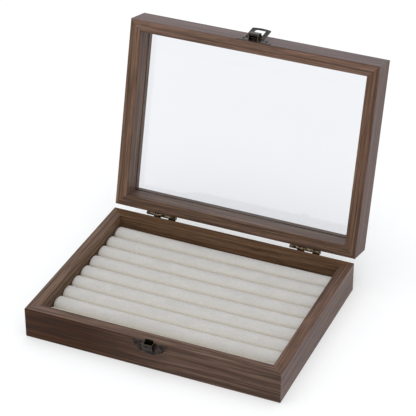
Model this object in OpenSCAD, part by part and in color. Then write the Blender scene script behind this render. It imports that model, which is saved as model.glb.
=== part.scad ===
// Ring display case: a mitred wooden box with nine soft ring rolls, and a hinged lid with a glass
// window that stands open on the stops of its two hinges. A ring latch hangs on the lid's front.
// Origin: centre of the underside. X runs along the width, the front is at -Y, Z is up.

/* [Case] */
// Width over the side boards
case_w = 200; // [170:1:260]
// Depth over the front and back boards
case_d = 150; // [130:1:190]
// Height of the box
box_h = 24.8; // [23:0.1:36]
// Height of the lid
lid_h = 25; // [22:0.1:36]
// Thickness of the frame boards
wall = 9.1; // [8:0.1:11]
// Radius of the eased board edges
edge_r = 0.6; // [0.3:0.1:1]
// Gap between the rims when the lid is closed
joint_gap = 0.2; // [0.1:0.05:0.5]

/* [Bottom and insert] */
// Thickness of the bottom panel
bottom_t = 3; // [2:0.5:4]
// Width of the rabbet that holds the bottom panel
rabbet_w = 4.4; // [3:0.1:5]
// Thickness of the insert card under the rolls
card_t = 2; // [1:0.25:3]
// Clearance round the panel, the card and the glass
fit_gap = 0.15; // [0.05:0.05:0.3]

/* [Ring rolls] */
// Height of a roll from the card to its crown
roll_h = 12.5; // [11:0.25:14]
// Gap between neighbouring rolls
roll_gap = 0.3; // [0.2:0.05:0.8]
// Gap between a roll's end and the side board
roll_end_gap = 0.3; // [0.2:0.1:1.5]
// Rounding of the roll ends
roll_end_r = 2.4; // [1.5:0.1:3.5]
// How far the sides of a roll are drawn in at the foot
roll_waist = 0.3; // [0:0.05:0.6]

/* [Window] */
// Thickness of the glass
glass_t = 2; // [1.5:0.1:3]
// Depth from the lid's joint face to the glass
glass_depth = 16; // [12:0.5:17]
// Depth of the groove that holds the glass
groove_d = 3; // [2:0.25:4]
// Chamfer round the window on the outside
window_bevel = 1.5; // [0.5:0.25:2.5]

/* [Hinges] */
// Distance of a hinge's middle from the side of the case
hinge_inset = 40; // [30:0.5:55]
// Width of a hinge
hinge_w = 24.8; // [20:0.4:32]
// Height of a hinge leaf
leaf_h = 10; // [8:0.5:12]
// Thickness of a hinge leaf
leaf_t = 0.5; // [0.4:0.05:0.7]
// Radius of the hinge knuckles
knuckle_r = 1.25; // [1.2:0.05:1.5]
// Radius of the hinge pins
hinge_pin_r = 0.6; // [0.4:0.05:0.7]
// Radial clearance of a pin in its bore
pin_gap = 0.06; // [0.03:0.01:0.08]
// Height of the hinge line above the box rim
hinge_rise = 1.1; // [0.8:0.05:1.4]
// Gap between the knuckles and the back faces of the boards
back_gap = 0.25; // [0.2:0.05:0.4]
// Gap between neighbouring knuckles
knuckle_gap = 0.2; // [0.1:0.05:0.4]
// Length of the stop tails on the box knuckles
stop_l = 4; // [3.4:0.1:4.6]
// Clearance between a stop tail and the leaf that lands on it
stop_gap = 0.1; // [0.06:0.02:0.2]
// Opening angle of the lid at its stop
lid_open = 104.2; // [95:0.1:110]

/* [Latch plates] */
// Width of the two half-moon plates
plate_w = 26.4; // [24:0.2:30]
// Height of the half-moon plates
plate_h = 11; // [9:0.5:12]
// Height of the straight ends of the plates
plate_end_h = 3.5; // [2.5:0.25:4]
// Thickness of the plates
plate_t = 0.6; // [0.5:0.05:0.8]
// Distance of a plate's straight edge from the rim
plate_inset = 0.5; // [0.3:0.1:1]
// Nail distance from the middle of the catch plate
catch_nail_x = 10.2; // [9.4:0.1:11]
// Nail distance from the middle of the lid plate
latch_nail_x = 9.2; // [8.8:0.1:11]
// Nail distance from a catch plate's straight edge
catch_nail_drop = 3.2; // [2.5:0.1:4]
// Nail distance from the lid plate's straight edge
latch_nail_drop = 4.6; // [2.5:0.1:5]

/* [Catch scoop] */
// Width of the scoop
scoop_w = 7.6; // [6:0.1:7.8]
// How far the scoop's lip stands off the box
scoop_out = 4.6; // [4:0.1:5]
// Height of the scoop
scoop_h = 7.2; // [6:0.2:7.6]
// How far the lip lies below the plate's straight edge
scoop_drop = 0.3; // [0:0.1:0.6]
// Radius of the rolled lip
lip_r = 0.5; // [0.4:0.05:0.6]
// Height of the guide tab above the plate's straight edge
tab_h = 2.2; // [1:0.1:3]
// Wall of the scoop and of the bridge
sheet_t = 0.5; // [0.4:0.05:0.7]

/* [Bridge and ring] */
// How far the bridge stands off the lid
bridge_out = 6.2; // [5.8:0.1:6.6]
// Width of the bridge
bridge_w = 8; // [7.4:0.1:8]
// Height of the bridge where it meets the plate
bridge_h = 8; // [7.6:0.1:8.4]
// Height of the bridge's upright face
bridge_face_h = 6; // [5.4:0.1:6.4]
// Chamfer above that face
bridge_ease = 0.7; // [0.5:0.05:0.8]
// Radius of the bridge's rolled lower edge
curl_r = 1.1; // [0.9:0.05:1.3]
// Distance of the ring's axis from the lid's front
ring_out = 2.2; // [2:0.05:2.4]
// Distance of the ring's axis from the lid's joint face
ring_up = 4.2; // [4:0.1:4.6]
// Radius of the ring's root bar
ring_bar_r = 0.8; // [0.6:0.05:0.9]
// Length of the ring from its axis to the tip
ring_l = 15.3; // [15:0.1:16]
// Width over the ring's two arms
ring_w = 15; // [13.4:0.1:15.6]
// How far the ring's tip is arched
ring_arch = 1.1; // [0.6:0.1:1.4]
// Width of the hole in the ring
ring_hole_w = 8.4; // [8.2:0.1:9]
// Width of the bar across the ring's tip
ring_rail = 1.8; // [1.5:0.1:2.1]
// Thickness of the ring
ring_t = 0.9; // [0.7:0.05:1.1]
// Lean of the ring away from the lid in its resting place
ring_lean = 15.4; // [5:0.1:20]

/* [Nails] */
// Radius of the nail shanks
nail_r = 0.55; // [0.4:0.05:0.7]
// Length of the nail shanks in the wood
nail_l = 5.5; // [4:0.5:6.5]
// Radius of the nail heads
nail_head_r = 1.1; // [0.9:0.05:1.3]
// Height of the nail heads
nail_head_h = 0.5; // [0.3:0.05:0.6]
// Nail distance from the middle of a hinge
hinge_nail_x = 8; // [7:0.5:10]

/* [Hidden] */
$fn = 48;

walnut = [0.36, 0.28, 0.23];
cream = [0.86, 0.84, 0.79];
bronze = [0.30, 0.27, 0.23];

roll_count = 9;
knuckle_count = 4;
edge_steps = 3;
dome_steps = 12;
cut_over = 1;

inner_w = case_w - 2 * wall;
inner_d = case_d - 2 * wall;
lid_z = box_h + joint_gap;
front_y = -case_d / 2;
back_y = case_d / 2;

card_z = bottom_t + card_t;
roll_pitch = inner_d / roll_count;
roll_r = (roll_pitch - roll_gap) / 2;
roll_l = inner_w - 2 * roll_end_gap;

hinge_x = case_w / 2 - hinge_inset;
hinge_off = knuckle_r + back_gap;
hinge_y = back_y + hinge_off;
hinge_z = box_h + hinge_rise;
knuckle_w = hinge_w / knuckle_count;
leaf_edge = 0.6;
notch = knuckle_r + 0.4;
strap_root = notch + 0.75;
stop_top = hinge_off - leaf_t - stop_gap;

nail_hole_r = nail_r + 0.03;
nail_tip_gap = 0.3;
leaf_nail_edge = 3.2;
leaf_nail_drop = leaf_h - leaf_nail_edge;

plate_r = (plate_w * plate_w / 4 + pow(plate_h - plate_end_h, 2)) / (2 * (plate_h - plate_end_h));
tab_clear = 0.3;
tab_w = bridge_w - 2 * (sheet_t + tab_clear);
ring_bore_r = ring_bar_r + 0.08;
curl_bore_r = 0.45;
bridge_foot = -0.05;
ring_end_ease = 0.3;
ring_hole_r = 1.8;

// Points of a circular arc, from angle a0 to a1
function arc(cx, cy, r, a0, a1, n) =
    [for (i = [0:n]) [cx + r * cos(a0 + (a1 - a0) * i / n), cy + r * sin(a0 + (a1 - a0) * i / n)]];

// Section of a box board: outer face at 0, inner face at the wall's thickness, rabbet below
box_section = concat(
    arc(edge_r, edge_r, edge_r, 180, 270, edge_steps),
    [[wall - rabbet_w, 0], [wall - rabbet_w, bottom_t], [wall, bottom_t]],
    arc(wall - edge_r, box_h - edge_r, edge_r, 0, 90, edge_steps),
    arc(edge_r, box_h - edge_r, edge_r, 90, 180, edge_steps));

// Section of a lid board: the joint face is at 0, the glass groove opens inwards
groove_lo = glass_depth - fit_gap;
groove_hi = glass_depth + glass_t + fit_gap;
lid_section = concat(
    arc(edge_r, edge_r, edge_r, 180, 270, edge_steps),
    arc(wall - edge_r, edge_r, edge_r, 270, 360, edge_steps),
    [[wall, groove_lo], [wall - groove_d, groove_lo], [wall - groove_d, groove_hi], [wall, groove_hi]],
    [[wall, lid_h - window_bevel], [wall - window_bevel, lid_h]],
    arc(edge_r, lid_h - edge_r, edge_r, 90, 180, edge_steps));

// Extrudes a side-view outline of depth and height along X, centred
module along_x(outline, length) {
    rotate([90, 0, 90]) linear_extrude(height = length, center = true) polygon(outline);
}

// The left half of a symmetrical outline, for its right half
function mirrored(half) = [for (k = [len(half) - 1:-1:0]) [-half[k][0], half[k][1]]];

// A cylinder along X, centred
module rod_x(r, length) {
    rotate([0, 90, 0]) cylinder(r = r, h = length, center = true);
}

// One mitred board; side 0 is the front, 1 the right, 2 the back, 3 the left
module board(section, height, side) {
    long = side % 2 == 0 ? case_w : case_d;
    away = side % 2 == 0 ? case_d / 2 : case_w / 2;
    rotate([0, 0, 90 * side]) translate([0, -away, 0]) intersection() {
        along_x(section, long);
        linear_extrude(height = height)
            polygon([[-long / 2, 0], [long / 2, 0], [long / 2 - wall, wall], [wall - long / 2, wall]]);
    }
}

// Carries what is drawn in the closed lid's place to the open lid
module on_lid() {
    translate([0, hinge_y, hinge_z]) rotate([-lid_open, 0, 0]) translate([0, -hinge_y, -hinge_z])
        children();
}

// A nail along -Y with its head outside: the head's seat is at y = 0, the shank goes towards +Y
module nail() {
    rotate([90, 0, 0]) {
        translate([0, 0, -nail_l]) cylinder(r = nail_r, h = nail_l, $fn = 24);
        rotate_extrude($fn = 24) polygon([
            [0, 0], [nail_head_r, 0], [nail_head_r * 0.92, nail_head_h * 0.45],
            [nail_head_r * 0.6, nail_head_h * 0.85], [0, nail_head_h]]);
    }
}

// The hole for that nail
module nail_hole() {
    rotate([90, 0, 0]) translate([0, 0, -nail_l - nail_tip_gap])
        cylinder(r = nail_hole_r, h = nail_l + nail_tip_gap + cut_over, $fn = 24);
}

// Puts a hinge's children at the left (-1) or right (1) hinge
module at_hinge(side) {
    translate([side * hinge_x, 0, 0]) children();
}

// Places of the hinge nails, facing the back; the children face -Y
module hinge_nail_spots(side, height) {
    for (dx = [-hinge_nail_x, hinge_nail_x])
        translate([side * hinge_x + dx, back_y + leaf_t, height]) rotate([0, 0, 180]) children();
}

box_nail_z = box_h - leaf_edge - leaf_nail_drop;
lid_nail_z = lid_z + leaf_edge + leaf_nail_drop;

// Places of the latch nails on the front, above or below a rim
module latch_nail_spots(dx, height) {
    for (x = [-dx, dx]) translate([x, front_y - plate_t, height]) children();
}

catch_top = box_h - plate_inset;
latch_low = lid_z + plate_inset;
catch_nail_z = catch_top - catch_nail_drop;
latch_nail_z = latch_low + latch_nail_drop;

module box_front() {
    color(walnut) difference() {
        board(box_section, box_h, 0);
        latch_nail_spots(catch_nail_x, catch_nail_z) nail_hole();
    }
}

module box_back() {
    color(walnut) difference() {
        board(box_section, box_h, 2);
        hinge_nail_spots(-1, box_nail_z) nail_hole();
        hinge_nail_spots(1, box_nail_z) nail_hole();
    }
}

module box_left() {
    color(walnut) board(box_section, box_h, 3);
}

module box_right() {
    color(walnut) board(box_section, box_h, 1);
}

// The panel lies in the rabbet, flush with the underside
module box_bottom() {
    w = inner_w + 2 * (rabbet_w - fit_gap);
    d = inner_d + 2 * (rabbet_w - fit_gap);
    color([0.42, 0.34, 0.28]) translate([-w / 2, -d / 2, 0]) cube([w, d, bottom_t]);
}

// The card that the rolls are glued to
module insert_card() {
    w = inner_w - 2 * fit_gap;
    d = inner_d - 2 * fit_gap;
    color(cream) translate([-w / 2, -d / 2, bottom_t]) cube([w, d, card_t]);
}

// Section of a roll, drawn in by inset at the sides and the crown: a dome on slightly waisted sides
function roll_section(inset) =
    let (r = roll_r - inset, spring = roll_h - roll_r)
    concat(
        [[-(r - roll_waist * 0.5), 0], [r - roll_waist * 0.5, 0], [r - roll_waist, spring * 0.35]],
        arc(0, spring, r, 0, 180, dome_steps),
        [[-(r - roll_waist), spring * 0.35]]);

// Distances from a roll's end, and how far the section is drawn in there
end_steps = [0, 0.06, 0.25, 0.6, 1];
function end_inset(t) = roll_end_r * (1 - sqrt(1 - pow(1 - t, 2)));
roll_rings = concat(
    [for (t = end_steps) [-roll_l / 2 + t * roll_end_r, end_inset(t)]],
    [for (i = [len(end_steps) - 1:-1:0]) [roll_l / 2 - end_steps[i] * roll_end_r, end_inset(end_steps[i])]]);

// A soft roll along X, standing on the card
module roll_body() {
    rings = [for (g = roll_rings) [for (p = roll_section(g[1])) [g[0], p[0], p[1]]]];
    n = len(rings[0]);
    points = [for (g = rings) for (p = g) p];
    sides = [for (i = [0:len(rings) - 2]) for (j = [0:n - 1])
        let (a = i * n + j, b = i * n + (j + 1) % n, c = a + n, d = b + n)
        each [[a, c, b], [b, c, d]]];
    caps = [[for (j = [0:n - 1]) j], [for (j = [n - 1:-1:0]) (len(rings) - 1) * n + j]];
    polyhedron(points = points, faces = concat(sides, caps));
}

// Roll k counts from the back
module ring_roll(k) {
    y = inner_d / 2 - (k - 0.5) * roll_pitch;
    color(cream) translate([0, y, card_z]) roll_body();
}

module lid_front() {
    color(walnut) on_lid() difference() {
        translate([0, 0, lid_z]) board(lid_section, lid_h, 0);
        latch_nail_spots(latch_nail_x, latch_nail_z) nail_hole();
    }
}

module lid_back() {
    color(walnut) on_lid() difference() {
        translate([0, 0, lid_z]) board(lid_section, lid_h, 2);
        hinge_nail_spots(-1, lid_nail_z) nail_hole();
        hinge_nail_spots(1, lid_nail_z) nail_hole();
    }
}

module lid_left() {
    color(walnut) on_lid() translate([0, 0, lid_z]) board(lid_section, lid_h, 3);
}

module lid_right() {
    color(walnut) on_lid() translate([0, 0, lid_z]) board(lid_section, lid_h, 1);
}

// The pane sits in the groove
module lid_glass() {
    w = inner_w + 2 * (groove_d - fit_gap);
    d = inner_d + 2 * (groove_d - fit_gap);
    color([0.85, 0.92, 0.93, 0.35]) on_lid()
        translate([-w / 2, -d / 2, lid_z + glass_depth]) cube([w, d, glass_t]);
}

// Middle of knuckle i, counted from the left
function knuckle_x(i) = (i - (knuckle_count - 1) / 2) * knuckle_w;

// One knuckle with the strap that joins it to its leaf, tangent to the barrel. up is 1 on the lid
// and -1 on the box. The outline is measured from the hinge line.
module knuckle(i, up) {
    strap = [
        [-hinge_off, up * strap_root], [-hinge_off, up * notch], [-knuckle_r, 0], [leaf_t - knuckle_r, 0],
        [leaf_t - hinge_off, up * notch], [leaf_t - hinge_off, up * strap_root]];
    translate([knuckle_x(i), hinge_y, hinge_z]) {
        rod_x(knuckle_r, knuckle_w - knuckle_gap);
        along_x(up > 0 ? strap : [for (k = [len(strap) - 1:-1:0]) strap[k]], knuckle_w - knuckle_gap);
    }
}

// The tail of a box knuckle, which the lid leaf lands on when the lid is open
module stop_tail(i) {
    translate([knuckle_x(i), hinge_y, hinge_z]) rotate([90 - lid_open, 0, 0])
        along_x([[0, stop_top - leaf_t], [stop_l, stop_top - leaf_t], [stop_l, stop_top], [0, stop_top]],
            knuckle_w - knuckle_gap);
}

// Leaf with its knuckles. own lists its knuckles, other those of the other leaf, where it is notched.
module leaf(up, own, other) {
    low = up > 0 ? lid_z + leaf_edge : box_h - leaf_edge - leaf_h;
    difference() {
        union() {
            translate([-hinge_w / 2, back_y, low]) cube([hinge_w, leaf_t, leaf_h]);
            for (i = own) knuckle(i, up);
            if (up < 0) for (i = own) stop_tail(i);
        }
        for (i = other)
            translate([knuckle_x(i) - knuckle_w / 2, back_y - cut_over, hinge_z - notch])
                cube([knuckle_w, leaf_t + 2 * cut_over, 2 * notch]);
        translate([0, hinge_y, hinge_z]) rod_x(hinge_pin_r + pin_gap, hinge_w + cut_over);
    }
}

module box_leaf(side) {
    color(bronze) difference() {
        at_hinge(side) leaf(-1, [1, 3], [0, 2]);
        hinge_nail_spots(side, box_nail_z) nail_hole();
    }
}

module lid_leaf(side) {
    color(bronze) on_lid() difference() {
        at_hinge(side) leaf(1, [0, 2], [1, 3]);
        hinge_nail_spots(side, lid_nail_z) nail_hole();
    }
}

// The pin with its two upset ends
module hinge_pin(side) {
    end_t = 0.35;
    color(bronze) at_hinge(side) translate([0, hinge_y, hinge_z]) {
        rod_x(hinge_pin_r, hinge_w);
        for (x = [-1, 1]) translate([x * (hinge_w / 2 + end_t / 2), 0, 0]) rod_x(hinge_pin_r * 1.4, end_t);
    }
}

module hinge_nails_box() {
    color(bronze) for (side = [-1, 1]) hinge_nail_spots(side, box_nail_z) nail();
}

module hinge_nails_lid() {
    color(bronze) on_lid() for (side = [-1, 1]) hinge_nail_spots(side, lid_nail_z) nail();
}

// A half-moon plate on the front, standing up (1) or hanging down (-1) from its straight edge
module half_moon(edge_z, up) {
    translate([0, front_y, edge_z]) rotate([90, 0, 0]) intersection() {
        translate([0, up * (plate_h - plate_r), 0]) cylinder(r = plate_r, h = plate_t, $fn = 96);
        translate([-plate_w / 2, up > 0 ? 0 : -plate_h, 0]) cube([plate_w, plate_h, plate_t]);
    }
}

// Side view of the scoop: distance in front of the box, height above its foot, drawn in by inset
function scoop_side(inset) =
    let (out = scoop_out - inset, foot = inset * 1.3)
    [for (p = [[0, 0], [0.28, 0.02], [0.52, 0.11], [0.72, 0.27], [0.87, 0.49], [0.96, 0.74], [1, 1]])
        [out * p[0], foot + (scoop_h - foot) * p[1]]];

// The catch: half-moon plate, guide tab and scoop with its mouth at the top
module latch_catch_plate() {
    foot_z = catch_top - scoop_drop - scoop_h;
    outer = concat(scoop_side(0), [[0, scoop_h]]);
    above = scoop_h + cut_over;
    inner = concat(scoop_side(sheet_t), [[scoop_out - sheet_t, above], [plate_t, above]]);
    color(bronze) difference() {
        union() {
            half_moon(catch_top, -1);
            translate([-tab_w / 2, front_y - plate_t, catch_top - cut_over])
                cube([tab_w, plate_t - 0.05, tab_h + cut_over]);
            translate([0, front_y, foot_z]) mirror([0, 1, 0]) along_x(outer, scoop_w);
            translate([0, front_y - scoop_out + sheet_t / 2, foot_z + scoop_h - lip_r]) rod_x(lip_r, scoop_w);
        }
        translate([0, front_y, foot_z]) mirror([0, 1, 0]) intersection() {
            along_x(inner, scoop_w - 2 * sheet_t);
            translate([-scoop_w, plate_t, 0]) cube([2 * scoop_w, scoop_out, 2 * scoop_h]);
        }
        latch_nail_spots(catch_nail_x, catch_nail_z) nail_hole();
    }
}

// Side view of the bridge above its curl: distance in front of the lid, height, drawn in by inset
function bridge_side(inset) =
    let (out = bridge_out - inset, face_h = bridge_face_h - inset / 4)
    [[out, curl_r], [out, face_h], [out - bridge_ease, face_h + bridge_ease], [plate_t, bridge_h - inset]];

// The lid plate: half-moon with a window under a bridge, whose cheeks carry the ring
module latch_lid_plate() {
    outer = concat([[plate_t / 2, bridge_foot], [bridge_out - curl_r, bridge_foot]], bridge_side(0),
        [[plate_t / 2, bridge_h]]);
    inner = concat([[-cut_over, -cut_over], [bridge_out - sheet_t, -cut_over]], bridge_side(sheet_t),
        [[-cut_over, bridge_h - sheet_t]]);
    curl_up = latch_low + bridge_foot + curl_r;
    color(bronze) on_lid() difference() {
        union() {
            difference() {
                union() {
                    half_moon(latch_low, 1);
                    translate([0, front_y, latch_low]) mirror([0, 1, 0]) along_x(outer, bridge_w);
                }
                translate([0, front_y, latch_low]) mirror([0, 1, 0])
                    along_x(inner, bridge_w - 2 * sheet_t);
            }
            translate([0, front_y - bridge_out + curl_r, curl_up]) rod_x(curl_r, bridge_w);
        }
        translate([0, front_y - bridge_out + curl_r, curl_up]) rod_x(curl_bore_r, bridge_w + cut_over);
        translate([0, front_y - ring_out, lid_z + ring_up]) rod_x(ring_bore_r, bridge_w + cut_over);
        latch_nail_spots(latch_nail_x, latch_nail_z) nail_hole();
    }
}

// The ring: two arms on a root bar, joined by an arched bar that goes round the scoop
module latch_ring() {
    side = ring_w / 2;
    hole = ring_hole_w / 2;
    hole_l = ring_l - ring_rail;
    half = concat(
        [[side - ring_end_ease, -ring_bar_r], [side, ring_end_ease - ring_bar_r]],
        [for (k = [1:-0.25:0.25]) [side * k, ring_l - ring_arch * k * k]]);
    half_opening = concat(
        [[hole, -cut_over]], arc(hole - ring_hole_r, hole_l - ring_hole_r, ring_hole_r, 0, 80, 4));
    outline = concat(half, [[0, ring_l]], mirrored(half));
    opening = concat(half_opening, [[0, hole_l]], mirrored(half_opening));
    color(bronze) on_lid() translate([0, front_y - ring_out, lid_z + ring_up]) rotate([ring_lean, 0, 0]) {
        difference() {
            rotate([90, 0, 0]) linear_extrude(height = ring_t, center = true) polygon(outline);
            rotate([90, 0, 0]) linear_extrude(height = ring_t + cut_over, center = true) polygon(opening);
        }
        rod_x(ring_bar_r, ring_w - 2 * ring_end_ease);
    }
}

module latch_nails_box() {
    color(bronze) latch_nail_spots(catch_nail_x, catch_nail_z) nail();
}

module latch_nails_lid() {
    color(bronze) on_lid() latch_nail_spots(latch_nail_x, latch_nail_z) nail();
}

box_front();
box_back();
box_left();
box_right();
box_bottom();
insert_card();
ring_roll(1);  // ring_roll_1
ring_roll(2);  // ring_roll_2
ring_roll(3);  // ring_roll_3
ring_roll(4);  // ring_roll_4
ring_roll(5);  // ring_roll_5
ring_roll(6);  // ring_roll_6
ring_roll(7);  // ring_roll_7
ring_roll(8);  // ring_roll_8
ring_roll(9);  // ring_roll_9
lid_front();
lid_back();
lid_left();
lid_right();
lid_glass();
box_leaf(-1);  // hinge_left_box_leaf
lid_leaf(-1);  // hinge_left_lid_leaf
hinge_pin(-1);  // hinge_left_pin
box_leaf(1);  // hinge_right_box_leaf
lid_leaf(1);  // hinge_right_lid_leaf
hinge_pin(1);  // hinge_right_pin
hinge_nails_box();
hinge_nails_lid();
latch_catch_plate();
latch_lid_plate();
latch_ring();
latch_nails_box();
latch_nails_lid();
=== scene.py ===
import math

import bmesh
import bpy
from mathutils import Euler, Matrix, Vector, noise


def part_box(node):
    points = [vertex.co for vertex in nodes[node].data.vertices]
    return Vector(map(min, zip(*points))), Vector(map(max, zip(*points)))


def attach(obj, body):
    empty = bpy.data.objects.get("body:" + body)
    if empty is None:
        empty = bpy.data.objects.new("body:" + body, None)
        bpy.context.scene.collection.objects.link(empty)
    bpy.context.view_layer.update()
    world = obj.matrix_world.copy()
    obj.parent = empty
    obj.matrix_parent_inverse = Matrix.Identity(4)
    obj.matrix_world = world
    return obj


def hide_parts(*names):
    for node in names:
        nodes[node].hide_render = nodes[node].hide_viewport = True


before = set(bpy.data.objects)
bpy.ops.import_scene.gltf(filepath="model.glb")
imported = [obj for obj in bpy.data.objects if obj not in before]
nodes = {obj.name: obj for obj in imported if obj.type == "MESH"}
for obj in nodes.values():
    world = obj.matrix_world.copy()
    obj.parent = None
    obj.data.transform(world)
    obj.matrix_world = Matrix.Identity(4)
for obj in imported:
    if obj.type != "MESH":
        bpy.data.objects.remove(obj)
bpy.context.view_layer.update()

scene = bpy.context.scene

MM = 0.001
# How far the lid stands open at rest
LID_OPEN = math.radians(104.2)
# Where the line that both hinges turn on lies, as y and z
HINGE_AXLE = (76.5 * MM, 25.9 * MM)
KNUCKLE_RADIUS = 1.25 * MM


# Camera, fitted to the corners of the case in the photograph

CAMERA_AZIMUTH = math.radians(23.467)
CAMERA_ELEVATION = math.radians(32.311)
CAMERA_ROLL = math.radians(-0.074)
CAMERA_PLACE = (0.44948, -1.00596, 0.78913)
CAMERA_LENS = 156.855


def make_camera():
    east = math.cos(CAMERA_AZIMUTH)
    north = math.sin(CAMERA_AZIMUTH)
    flat = math.cos(CAMERA_ELEVATION)
    level = Vector((east, north, 0))
    back = Vector((north * flat, -east * flat, math.sin(CAMERA_ELEVATION)))
    upright = back.cross(level)
    right = level * math.cos(CAMERA_ROLL) + upright * math.sin(CAMERA_ROLL)
    up = upright * math.cos(CAMERA_ROLL) - level * math.sin(CAMERA_ROLL)
    lens = bpy.data.cameras.new("camera")
    lens.lens = CAMERA_LENS
    lens.sensor_width = 36
    lens.clip_start = 0.05
    lens.clip_end = 50
    camera = bpy.data.objects.new("camera", lens)
    scene.collection.objects.link(camera)
    turn = Matrix((right, up, back)).transposed().to_4x4()
    camera.matrix_world = Matrix.Translation(CAMERA_PLACE) @ turn
    scene.camera = camera


# Shader graphs

class Graph:
    """Builds the nodes of one material or world."""

    def __init__(self, owner, output="ShaderNodeOutputMaterial"):
        owner.use_nodes = True
        self.owner = owner
        self.tree = owner.node_tree
        self.tree.nodes.clear()
        self.out = self.tree.nodes.new(output)

    def put(self, socket, value):
        if isinstance(value, bpy.types.NodeSocket):
            self.tree.links.new(value, socket)
        else:
            socket.default_value = value

    def add(self, kind, inputs=None, **settings):
        node = self.tree.nodes.new("ShaderNode" + kind)
        for key, value in settings.items():
            setattr(node, key, value)
        for key, value in (inputs or {}).items():
            self.put(node.inputs[key], value)
        return node

    def place(self):
        return self.add("TexCoord").outputs["Object"]

    def stretch(self, vector, scale, move=(0, 0, 0), turn=(0, 0, 0)):
        inputs = {"Vector": vector, "Scale": scale, "Location": move, "Rotation": turn}
        return self.add("Mapping", inputs).outputs["Vector"]

    def length(self, vector):
        return self.add("VectorMath", {0: vector}, operation="LENGTH").outputs["Value"]

    def noise(self, vector, scale=1.0, detail=3.0, rough=0.55, distortion=0.0):
        inputs = {"Vector": vector, "Scale": scale, "Detail": detail, "Roughness": rough}
        inputs["Distortion"] = distortion
        return self.add("TexNoise", inputs).outputs["Fac"]

    def grain(self, vector, along, across, move=(0, 0, 0), **kind):
        """Noise drawn out along X, with so many cells to the metre along and across it."""
        return self.noise(self.stretch(vector, (along, across, across), move), **kind)

    def math(self, operation, a, b=0.0, c=0.0):
        node = self.add("Math", operation=operation)
        for socket, value in zip(node.inputs, (a, b, c)):
            self.put(socket, value)
        return node.outputs[0]

    def total(self, *parts):
        """Adds up (weight, value) pairs."""
        result = 0.0
        for weight, value in parts:
            result = self.math("MULTIPLY_ADD", value, weight, result)
        return result

    def span(self, value, low, high, to_low=0.0, to_high=1.0):
        """Turns low to high into to_low to to_high, and holds it there beyond both ends."""
        inputs = {"Value": value, "From Min": low, "From Max": high, "To Min": to_low, "To Max": to_high}
        return self.add("MapRange", inputs).outputs["Result"]

    def mix(self, amount, a, b, blend="MIX"):
        node = self.add("Mix", {0: amount}, data_type="RGBA", blend_type=blend)
        for key, value in ((6, a), (7, b)):
            if not isinstance(value, bpy.types.NodeSocket):
                value = (*value, 1.0)
            self.put(node.inputs[key], value)
        return node.outputs[2]

    def ramp(self, amount, stops):
        node = self.add("ValToRGB", {"Fac": amount})
        steps = node.color_ramp.elements
        while len(steps) < len(stops):
            steps.new(0.5)
        for step, (position, colour) in zip(steps, stops):
            step.position = position
            step.color = (*colour, 1.0)
        return node.outputs["Color"]

    def bump(self, height, strength, distance):
        inputs = {"Height": height, "Strength": strength, "Distance": distance}
        return self.add("Bump", inputs).outputs["Normal"]

    def show(self, shader):
        self.tree.links.new(shader.outputs[0], self.out.inputs["Surface"])

    def finish(self, **inputs):
        """Adds the shader. An underscore in a key stands for a space in the socket's name."""
        self.show(self.add("BsdfPrincipled", {key.replace("_", " "): value for key, value in inputs.items()}))
        return self.owner


def material(name):
    return Graph(bpy.data.materials.new(name))


def dress(surfaces):
    """Gives each CAD node its material."""
    for name, surface in surfaces.items():
        slots = nodes[name].data.materials
        slots.clear()
        slots.append(surface)


def srgb(red, green, blue, strength=(1, 1, 1)):
    """A colour as it looks on a screen, 0 to 255, made linear and multiplied by strength."""
    values = []
    for level, factor in zip((red, green, blue), strength):
        level /= 255
        level = level / 12.92 if level <= 0.04045 else ((level + 0.055) / 1.055) ** 2.4
        values.append(level * factor)
    return tuple(values)


# Wood

# How light the grain is, with the colour that it has there
WALNUT = ((0.42, (77, 57, 43)), (0.475, (93, 70, 54)), (0.525, (109, 83, 66)), (0.58, (121, 93, 75)))
ROSY_WALNUT = (116, 81, 62)
LATE_WOOD = (52, 37, 29)
DARK_FIBRE = (48, 35, 28)
DARK_VEIN = (58, 41, 31)
DARK_PORE = (38, 28, 23)
OIL_TINT = (0.88, 0.88, 1.0, 1.0)
HAZE_TINT = (0.80, 0.76, 0.93, 1.0)
RINGS_PER_METRE = 260.0
RING_WANDER = 3.2
LOG_SLANT = (0, 0.018, 0.028)
# A face's own shade fades in between these depths, and changes along the board between these places
FACE_TONE_DEPTHS = (0.6 * MM, 0.3 * MM)
FACE_TONE_CHANGE = (-50 * MM, 18 * MM)


def growth_rings(g, turned, board, seed):
    """Rings round the heart of the log, which lies a little aslant to the board: 1 where they are darkest."""
    heart = (0, 0.07 + 0.011 * seed, 0.05 + 0.007 * seed)
    log = g.stretch(turned, (1, 1, 1), heart, LOG_SLANT)
    radius = g.length(g.stretch(log, (0, 1, 1)))
    wander = g.grain(board, 7, 34, detail=2.0, rough=0.5)
    ring = g.math("FRACT", g.total((RINGS_PER_METRE, radius), (RING_WANDER, wander)))
    return g.math("POWER", ring, 3.0)


def board_face(name, turn, side):
    """Where a board's face lies along Y, on its -1 or 1 side once turned, and which way the wood is."""
    spin = Euler(turn).to_matrix()
    board = nodes[name]
    depths = [(spin @ (board.matrix_world @ vertex.co)).y for vertex in board.data.vertices]
    return side * max(side * depth for depth in depths), -side


def face_toned(g, turned, colour, face, shade, start, end):
    """Shades one face by start at one end of the board and by end at the other."""
    depth, inward = face
    place = g.add("SeparateXYZ", {0: turned}).outputs
    on_face = g.span(place["Y"], *[depth + inward * reach for reach in FACE_TONE_DEPTHS])
    amount = g.math("MULTIPLY", on_face, g.span(place["X"], *FACE_TONE_CHANGE, start, end))
    return g.mix(amount, colour, shade, "MULTIPLY")


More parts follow.
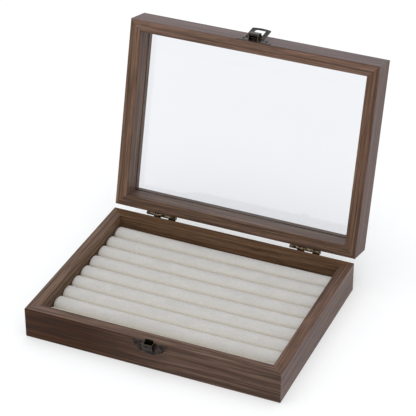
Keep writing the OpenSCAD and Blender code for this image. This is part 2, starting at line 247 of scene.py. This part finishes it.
def walnut(name, turn, seed, tone, gloss=0.2, haze=0.08, bands=1.0, face_tone=None):
    """Oiled walnut for one board. turn lays its grain along X, tone is how light it is in red, green and
    blue, bands is how strongly its lines show, and the last is the side, shade, start and end of one face's
    shade."""
    g = material("walnut_" + name)
    turned = g.stretch(g.place(), (1, 1, 1), turn=turn)
    board = g.stretch(turned, (1, 1, 1), (seed, seed * 0.37, seed * 0.61))
    figure = g.grain(board, 3, 110, detail=2.0, rough=0.5, distortion=0.5)
    streaks = g.grain(board, 10, 450, (0.3, 0.1, 0.2), detail=2.0, rough=0.5, distortion=0.3)
    threads = g.grain(board, 22, 1000, (0.2, 0.6, 0.3), detail=2.0, rough=0.5)
    fibres = g.grain(board, 40, 1300, detail=3.0, rough=0.6)
    pores = g.grain(board, 80, 2300, (0.7, 0.4, 0.9), detail=1.0, rough=0.5)
    rosy = g.grain(board, 4, 130, (0.5, 0.8, 0.1), detail=2.0, rough=0.5)
    veins = g.grain(board, 11, 560, (0.9, 0.3, 0.5), detail=2.0, rough=0.45, distortion=0.3)
    late_wood = growth_rings(g, turned, board, seed)
    pore = g.span(pores, 0.60, 0.68)

    level = g.total((0.06, figure), (0.34, streaks), (0.60, threads))
    level = g.math("MULTIPLY_ADD", level, bands, 0.5 * (1 - bands))
    colour = g.ramp(level, [(position, srgb(*shade, tone)) for position, shade in WALNUT])
    colour = g.mix(g.span(rosy, 0.45, 0.65, 0.0, 0.25), colour, srgb(*ROSY_WALNUT, tone))
    colour = g.mix(g.math("MULTIPLY", late_wood, 0.19 * bands), colour, srgb(*LATE_WOOD, tone))
    colour = g.mix(g.span(fibres, 0.35, 0.62, 0.34, 0.0), colour, srgb(*DARK_FIBRE, tone))
    colour = g.mix(g.span(veins, 0.54, 0.61, 0.0, 0.32 * bands), colour, srgb(*DARK_VEIN, tone))
    colour = g.mix(g.math("MULTIPLY", pore, 0.5), colour, srgb(*DARK_PORE, tone))
    if face_tone:
        side, shade, start, end = face_tone
        colour = face_toned(g, turned, colour, board_face(name, turn, side), shade, start, end)
    height = g.total((1.0, fibres), (-1.0, pore), (-0.5, late_wood))
    return g.finish(Base_Color=colour, Roughness=g.span(streaks, 0.3, 0.7, 0.50, 0.40),
                    Specular_IOR_Level=gloss, Specular_Tint=OIL_TINT,
                    Sheen_Weight=haze, Sheen_Roughness=0.4, Sheen_Tint=HAZE_TINT,
                    Normal=g.bump(height, 0.3, 0.00012))


def dress_wood():
    """Gives each board its own grain, which runs along the board and turns with the open lid."""
    along = Vector((0, -math.cos(LID_OPEN), math.sin(LID_OPEN)))
    side = Vector((1, 0, 0))
    across_box = (0, 0, 0)
    into_box = (0, 0, -math.pi / 2)
    across_lid = (LID_OPEN, 0, 0)
    up_lid = tuple(Matrix((along, side, along.cross(side))).to_euler())
    boards = {
        "box_front": dict(turn=across_box, seed=0.0, tone=(1.07, 1.13, 1.23), gloss=0.17, haze=0.01,
                          face_tone=(-1, (0.36, 0.18, 0.01), 0.88, 0.0)),
        # The back board's tone is warmer and less blue: painted warm bounced light on its inner face and rim.
        # Its outer face is shaded back towards its neighbours' tone
        "box_back": dict(turn=across_box, seed=1.3, tone=(1.03, 1.02, 0.88), gloss=0.08, haze=0.01,
                         bands=0.65, face_tone=(1, (1.03, 1.08, 1.22), 1.0, 1.0)),
        # The left board's inner face is made lighter: painted light, where light from the right falls on it
        "box_left": dict(turn=into_box, seed=2.1, tone=(1.14, 1.20, 1.22), gloss=0.16, haze=0.03,
                         face_tone=(-1, (1.22, 1.22, 1.06), 1.0, 1.0)),
        "box_right": dict(turn=into_box, seed=3.4, tone=(1.12, 1.10, 1.11),
                          face_tone=(-1, (0.93, 0.88, 0.93), 1.0, 0.0)),
        "lid_front": dict(turn=across_lid, seed=4.2, tone=(1.57, 1.62, 1.77), bands=0.72,
                          face_tone=(-1, (0.48, 0.47, 0.54), 0.80, 1.0)),
        "lid_back": dict(turn=across_lid, seed=5.9, tone=(1.08, 1.12, 1.12),
                         face_tone=(-1, (1.07, 1.14, 1.22), 0.4, 1.0)),
        "lid_left": dict(turn=up_lid, seed=6.6, tone=(1.48, 1.49, 1.47), bands=0.7),
        "lid_right": dict(turn=up_lid, seed=7.7, tone=(1.20, 1.17, 1.14), haze=0.02, bands=0.8,
                          face_tone=(1, (0.84, 0.76, 0.81), 1.0, 1.0)),
    }
    for name, look in boards.items():
        dress({name: walnut(name, **look)})


# Bronze, glass and the bottom panel

RUBBED_GLINT_BRONZE = (170, 148, 118)
# A hinge's rubbed patches, partly wear and partly painted glints, fade in between these reaches beyond the
# radius of its knuckles
RUB_GLINT_REACHES = (0.25 * MM, 0.1 * MM)
GLASS_TINT = (0.875, 0.88, 0.90, 1.0)


def antique_bronze(name, dark, brown, edge_wear_and_glint, patches=420.0, edge=0.3 * MM, axle=None):
    """Blackened bronze, browner in patches, rubbed bright along its edges and in places round its axle,
    partly real wear and partly painted highlights and glints.
    """
    g = material(name)
    place = g.place()
    patch = g.noise(place, scale=patches, detail=4.0, rough=0.6, distortion=0.4)
    pits = g.noise(place, scale=2600.0, detail=3.0, rough=0.6)
    rounded = g.add("Bevel", {"Radius": edge}, samples=6).outputs["Normal"]
    flat = g.add("NewGeometry").outputs["Normal"]
    facing = g.add("VectorMath", {0: rounded, 1: flat}, operation="DOT_PRODUCT").outputs["Value"]
    # Edges are rubbed bright: partly wear, partly painted highlights where the edges catch the light
    wear_and_glint = g.math("MULTIPLY", g.span(facing, 0.99, 0.88), g.span(pits, 0.35, 0.6, 0.25, 1.0))
    colour = g.mix(g.span(patch, 0.40, 0.70), dark, brown)
    if axle:
        section = g.stretch(place, (0, 1, 1))
        radius = g.add("VectorMath", {0: section, 1: (0, *axle)}, operation="DISTANCE").outputs["Value"]
        on_knuckle = g.span(radius, *[KNUCKLE_RADIUS + reach for reach in RUB_GLINT_REACHES])
        # Rubbed patches round the knuckles: partly wear, partly painted glints of light on the barrels
        rubbed_glints = g.grain(place, 240, 420, (0.35, 0.2, 0.6), detail=2.0, rough=0.5)
        amount = g.math("MULTIPLY", on_knuckle, g.span(rubbed_glints, 0.47, 0.63, 0.0, 0.5))
        colour = g.mix(amount, colour, srgb(*RUBBED_GLINT_BRONZE))
    colour = g.mix(wear_and_glint, colour, edge_wear_and_glint)
    return g.finish(Base_Color=colour, Metallic=1.0, Roughness=g.span(patch, 0.3, 0.7, 0.30, 0.46),
                    Normal=g.bump(pits, 0.18, 0.00008))


def dress_metal():
    latch = antique_bronze("antique_bronze", dark=srgb(37, 35, 37), brown=srgb(74, 64, 58),
                           edge_wear_and_glint=srgb(186, 165, 128), edge=0.25 * MM)
    hinge = antique_bronze("hinge_bronze", dark=srgb(34, 31, 29), brown=srgb(88, 75, 58),
                           edge_wear_and_glint=srgb(214, 190, 146), patches=300.0, axle=HINGE_AXLE)
    # The nails are nearly black, far darker than the plates, so their heads show as dark dots with light rims
    nail = antique_bronze("nail_bronze", dark=srgb(10, 9, 9), brown=srgb(22, 20, 18),
                          edge_wear_and_glint=srgb(160, 148, 124), edge=0.22 * MM)
    dress({name: latch for name in ("latch_catch_plate", "latch_lid_plate", "latch_ring")})
    for side in ("left", "right"):
        dress({"hinge_%s_%s" % (side, part): hinge for part in ("box_leaf", "lid_leaf", "pin")})
    for place in ("box", "lid"):
        dress({"%s_nails_%s" % (group, place): nail for group in ("hinge", "latch")})


def clear_glass(name):
    g = material(name)
    wave = g.noise(g.place(), scale=14.0, detail=1.0, rough=0.4)
    return g.finish(Base_Color=GLASS_TINT, Roughness=0.0, IOR=1.46, Transmission_Weight=1.0,
                    Normal=g.bump(wave, 0.02, 0.0001))


def panel_board(name):
    """The thin brown board of the underside."""
    g = material(name)
    place = g.place()
    fleck = g.noise(place, scale=700.0, detail=4.0, rough=0.7)
    grain = g.grain(place, 12, 260, detail=4.0, rough=0.6, distortion=0.5)
    colour = g.mix(g.span(grain, 0.35, 0.65), srgb(96, 74, 58), srgb(130, 104, 82))
    colour = g.mix(g.span(fleck, 0.55, 0.70, 0.0, 0.4), colour, srgb(70, 54, 43))
    return g.finish(Base_Color=colour, Roughness=0.7, Specular_IOR_Level=0.3,
                    Normal=g.bump(fleck, 0.3, 0.0002))


# Velvet

VELVET_LIT = (0.63, 0.607, 0.58)
VELVET_SHADED = (0.57, 0.549, 0.524)
# The hollow colour is warmer and in red lighter than the lit pile: painted bounced light in the grooves
# between the rolls
VELVET_HOLLOW_PAINTED_LIGHT = (0.655, 0.610, 0.528)
# How far below the rolls' crest the hollow's painted light starts, and where it is full
HOLLOW_PAINTED_LIGHT_DEPTHS = (1.2 * MM, 4.2 * MM)


def velvet(name, crest):
    """Short cream pile, in soft patches of brushed nap painted lit and shaded, with painted warm bounced
    light in the hollows of the rolls.
    """
    g = material(name)
    place = g.place()
    pile = g.noise(place, scale=2200.0, detail=2.0, rough=0.6)
    tufts = g.noise(place, scale=760.0, detail=3.0, rough=0.6)
    nap_and_sheen = g.grain(place, 55, 120, detail=4.0, rough=0.65, distortion=0.4)
    height = g.add("SeparateXYZ", {0: place}).outputs["Z"]
    hollow_painted_light = g.span(height, *[crest - depth for depth in HOLLOW_PAINTED_LIGHT_DEPTHS])
    # Patches of brushed nap, painted as lit and shaded pile
    colour = g.mix(g.span(nap_and_sheen, 0.36, 0.64), VELVET_SHADED, VELVET_LIT)
    # Painted warm bounced light in the hollows between the rolls
    colour = g.mix(hollow_painted_light, colour, VELVET_HOLLOW_PAINTED_LIGHT)
    for fluff, low, high, amount, shade in ((pile, 0.35, 0.65, 0.18, 0.72), (tufts, 0.38, 0.60, 0.28, 0.80)):
        dark = [part * shade for part in VELVET_SHADED]
        colour = g.mix(g.span(fluff, low, high, amount, 0.0), colour, dark)
    relief = g.total((0.6, pile), (0.4, tufts))
    return g.finish(Base_Color=colour, Roughness=0.95, Specular_IOR_Level=0.12,
                    Sheen_Weight=0.12, Sheen_Roughness=0.6, Sheen_Tint=(1.0, 0.98, 0.95, 1.0),
                    Normal=g.bump(relief, 0.6, 0.0003))


# Ring rolls: foam bolsters in velvet, puffed up by a cloth simulation until they press on each other

ROLL_COUNT = 9
ROLL_STEP = 3.0 * MM
ROLL_END_ROUND = 2.6 * MM
ROLL_FULLNESS = 0.86
ROLL_START_SIDE = 0.35 * MM
ROLL_SIDE_GAP = 0.03 * MM
ROLL_END_REACH = 0.22 * MM
ROLL_CAP_LOOPS = (0.7, 0.4, 0.12)
FRONT_ROLL_LOWER = 0.6 * MM
PINNED_HEIGHT = 0.8 * MM
# The unevenness of hand-packed foam, along each roll and round its ends
FOAM_WAVE = 0.10 * MM
FOAM_SINK = 0.06 * MM
FOAM_SWAY = 0.06 * MM
END_PUCKER = 0.10 * MM
END_PUCKER_REACH = 6 * MM
# The cloth solver works best at the size of a cushion, so the roll is ten times larger while it runs
CLOTH_SCALE = 10.0
CLOTH_FRAMES = 20
CLOTH_PRESSURE = 4.0
CLOTH_QUALITY = 6


def fuller(value):
    """Bends a round dome towards a square one."""
    return math.copysign(abs(value) ** ROLL_FULLNESS, value)


def roll_section(half, height, dome=18, side=3, foot=6):
    """A dome on upright sides and a flat foot, as (across, up) points round the roll."""
    spring = height - half
    points = [(-half, spring * i / side) for i in range(side)]
    for i in range(dome + 1):
        angle = math.pi - math.pi * i / dome
        points.append((half * fuller(math.cos(angle)), spring + half * fuller(math.sin(angle))))
    points += [(half, spring * i / side) for i in reversed(range(side))]
    points += [(half - 2 * half * i / foot, 0.0) for i in range(1, foot)]
    return points


def roll_stations(length, steps=5):
    """Places along the roll, close together where its ends round over."""
    inner = round((length - 2 * ROLL_END_ROUND) / ROLL_STEP)
    start = [ROLL_END_ROUND * (1 - math.cos(math.pi / 2 * i / steps)) for i in range(steps + 1)]
    middle = [ROLL_END_ROUND + (length - 2 * ROLL_END_ROUND) * i / inner for i in range(1, inner)]
    return start + middle + [length - place for place in reversed(start)]


def roll_form(length, half, height):
    """A closed shell of quads, centred on x and y with its foot at z = 0: points and faces."""
    points = []
    faces = []
    loops = []

    def add_loop(corners):
        first = len(points)
        points.extend(corners)
        return list(range(first, len(points)))

    def join(loop_a, loop_b):
        for j, corner in enumerate(loop_a):
            k = (j + 1) % len(loop_a)
            faces.append((corner, loop_a[k], loop_b[k], loop_b[j]))

    for place in roll_stations(length):
        inside = min(1.0, min(place, length - place) / ROLL_END_ROUND)
        inset = ROLL_END_ROUND * (1 - math.sqrt(1 - (1 - inside) ** 2))
        section = roll_section(half - inset, height - inset)
        loops.append(add_loop([Vector((place - length / 2, y, z)) for y, z in section]))
    for loop_a, loop_b in zip(loops, loops[1:]):
        join(loop_a, loop_b)
    for loop in (loops[0], loops[-1]):
        rim = [points[i].copy() for i in loop]
        middle = sum(rim, Vector()) / len(rim)
        for shrink in ROLL_CAP_LOOPS:
            inner = add_loop([middle + (corner - middle) * shrink for corner in rim])
            join(loop, inner)
            loop = inner
        faces.append(tuple(loop))
    return points, faces


def roll_mesh(name, points, faces):
    mesh = bpy.data.meshes.new(name)
    mesh.from_pydata(points, [], faces)
    shell = bmesh.new()
    shell.from_mesh(mesh)
    bmesh.ops.recalc_face_normals(shell, faces=shell.faces)
    shell.to_mesh(mesh)
    shell.free()
    mesh.polygons.foreach_set("use_smooth", [True] * len(mesh.polygons))
    return mesh


def make_cloth(points, faces):
    """A large copy of a roll, ready to be puffed up, its foot held where it is glued to the card."""
    large = [point * CLOTH_SCALE for point in points]
    piece = bpy.data.objects.new("cloth", roll_mesh("cloth", large, faces))
    scene.collection.objects.link(piece)
    glued = piece.vertex_groups.new(name="glued")
    glued.add([i for i, point in enumerate(points) if point.z < PINNED_HEIGHT], 1.0, "REPLACE")
    settings = piece.modifiers.new("cloth", "CLOTH").settings
    settings.use_pressure = True
    settings.uniform_pressure_force = CLOTH_PRESSURE
    settings.quality = CLOTH_QUALITY
    settings.effector_weights.gravity = 0.0
    settings.vertex_group_mass = "glued"
    return piece


def puff_up(points, faces):
    """Runs the cloth simulation on one roll and gives its moved points."""
    piece = make_cloth(points, faces)
    for step in range(1, CLOTH_FRAMES + 1):
        scene.frame_set(step)
    cushion = piece.evaluated_get(bpy.context.evaluated_depsgraph_get())
    puffed = [vertex.co / CLOTH_SCALE for vertex in cushion.to_mesh().vertices]
    cushion.to_mesh_clear()
    mesh = piece.data
    bpy.data.objects.remove(piece)
    bpy.data.meshes.remove(mesh)
    scene.frame_set(1)
    return puffed


def ripple(point, waves, shift):
    """Smooth noise, so many waves to the metre along, across and up, shifted so that each roll differs."""
    along, across, up = waves
    return noise.noise(Vector((point.x * along + shift, point.y * across, point.z * up)))


def settle(point, index, length, half, height, crest):
    """Gives a puffed point the unevenness of its own roll and presses it back between the neighbours."""
    place = Vector((point.x, point.y, point.z * (height / crest)))
    if point.z > PINNED_HEIGHT:
        slow = ripple(point, (28, 90, 60), index * 7.1)
        pucker = ripple(point, (190, 260, 200), index * 3.7)
        near_end = math.exp(-(length / 2 - abs(point.x)) / END_PUCKER_REACH)
        place.y += FOAM_SWAY * slow
        place.z += FOAM_WAVE * slow - FOAM_SINK + END_PUCKER * near_end * pucker
    place.x = max(-length / 2, min(length / 2, place.x))
    place.y = max(-half, min(half, place.y))
    place.z = max(0.0, min(height, place.z))
    return place


def make_roll(index, points, faces, surface):
    name = "velvet_roll_%d" % index
    roll = bpy.data.objects.new(name, roll_mesh(name, points, faces))
    scene.collection.objects.link(roll)
    roll.data.materials.append(surface)
    smoother = roll.modifiers.new("smoother", "SUBSURF")
    smoother.levels = 1
    smoother.render_levels = 1
    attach(roll, "box")
    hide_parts("ring_roll_%d" % index)


def make_rolls(surface):
    """One puffed form serves for all the rolls, and each is then settled in its own place."""
    boxes = [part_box("ring_roll_%d" % (i + 1)) for i in range(ROLL_COUNT)]
    low, high = boxes[0]
    length = high.x - low.x + 2 * ROLL_END_REACH
    gap = low.y - boxes[1][1].y
    half = (high.y - low.y + gap) / 2 - ROLL_SIDE_GAP
    height = high.z - low.z
    form, faces = roll_form(length, half - ROLL_START_SIDE, height)
    puffed = puff_up(form, faces)
    crest = max(point.z for point in puffed)
    for index, (low, high) in enumerate(boxes, 1):
        foot = Vector(((low.x + high.x) / 2, (low.y + high.y) / 2, low.z))
        top = height - FRONT_ROLL_LOWER if index == ROLL_COUNT else height
        settled = [foot + settle(point, index, length, half, top, crest) for point in puffed]
        make_roll(index, settled, faces, surface)


# Stage and light

SKY_COLOUR = (0.95, 0.975, 1.0, 1)
SKY_STRENGTH = 0.72
FLOOR_COLOUR = (0.65, 0.65, 0.65, 1)
FLOOR_REACH = 6.0
# The floor's glow rises between these distances from the case, where the lamps' light fades
FLOOR_GLOW = 0.38
FAR_FLOOR_GLOW = 0.58
GLOW_CHANGE = (0.7, 1.8)


def seen_rays(g):
    """One for rays that show the background itself: from the camera, off gloss or through glass."""
    rays = g.add("LightPath").outputs
    seen = g.math("MAXIMUM", rays["Is Glossy Ray"], rays["Is Transmission Ray"])
    return g.math("MAXIMUM", rays["Is Camera Ray"], seen)


def make_floor():
    g = material("floor")
    matte = g.add("BsdfDiffuse", {"Color": FLOOR_COLOUR})
    strength = g.span(g.length(g.place()), *GLOW_CHANGE, FLOOR_GLOW, FAR_FLOOR_GLOW)
    glow = g.add("Emission", {"Strength": g.math("MULTIPLY", seen_rays(g), strength)})
    g.show(g.add("AddShader", {0: matte.outputs[0], 1: glow.outputs[0]}))
    mesh = bpy.data.meshes.new("floor")
    corners = [(FLOOR_REACH * x, FLOOR_REACH * y, 0) for x, y in ((-1, -1), (1, -1), (1, 1), (-1, 1))]
    mesh.from_pydata(corners, [], [(0, 1, 2, 3)])
    mesh.materials.append(g.owner)
    floor = bpy.data.objects.new("floor", mesh)
    scene.collection.objects.link(floor)


def make_sky():
    scene.world = bpy.data.worlds.new("studio")
    g = Graph(scene.world, "ShaderNodeOutputWorld")
    strength = g.span(seen_rays(g), 0.0, 1.0, SKY_STRENGTH, 1.0)
    g.show(g.add("Background", {"Color": SKY_COLOUR, "Strength": strength}))


def make_lamp(name, place, target, size, power):
    light = bpy.data.lights.new(name, "AREA")
    light.shape = "SQUARE"
    light.size = size
    light.energy = power
    lamp = bpy.data.objects.new(name, light)
    scene.collection.objects.link(lamp)
    lamp.location = place
    lamp.rotation_euler = (Vector(target) - Vector(place)).to_track_quat("-Z", "Y").to_euler()


make_camera()
dress_wood()
dress_metal()
roll_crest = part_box("ring_roll_1")[1].z
cream = velvet("velvet_cream", roll_crest)
dress({
    "box_bottom": panel_board("panel_board"),
    "insert_card": cream,
    "lid_glass": clear_glass("clear_glass"),
})
make_rolls(cream)
make_floor()
make_sky()
make_lamp("top_soft", place=(-0.1, 0.1, 1.7), target=(0, 0, 0), size=1.5, power=10.0)
make_lamp("front_soft", place=(0.5, -1.6, 1.1), target=(0, 0, 0.05), size=1.2, power=6.0)
scene.view_settings.view_transform = "Standard"
